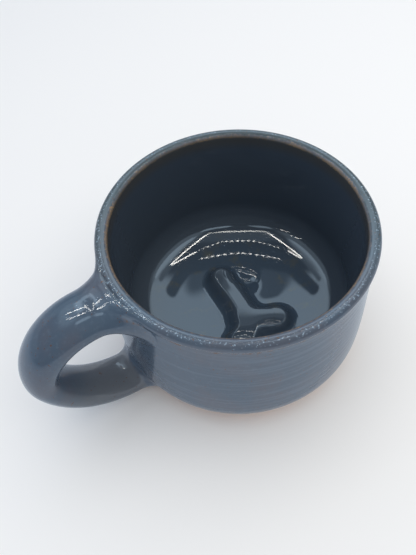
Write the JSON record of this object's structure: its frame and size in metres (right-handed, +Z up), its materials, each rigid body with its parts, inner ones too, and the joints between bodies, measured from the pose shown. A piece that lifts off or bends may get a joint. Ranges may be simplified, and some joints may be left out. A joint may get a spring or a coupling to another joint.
{
  "type": "lather mug",
  "caption": "Low wide thrown stoneware mug with a thick ear handle and raised clay coils on its floor, for working up shaving lather.",
  "frame": {"origin": "centre of the flat foot, on the axis of the cup", "axes": "+Z up along the axis of the cup, -X out along the handle"},
  "size_m": [0.1453, 0.107, 0.069],
  "materials": {
    "slate_glaze": "glossy slate-blue stoneware glaze that breaks to rust brown on edges, with bare clay on the foot",
    "coil_glaze": "glossy ink-blue glaze over the coils, the same as on the floor of the cup"
  },
  "bodies": {
    "root": {"thrown_cup": "slate_glaze", "ear_handle": "slate_glaze", "long_lather_coil": "coil_glaze", "branch_lather_coil": "coil_glaze"}
  },
  "joints": []
}
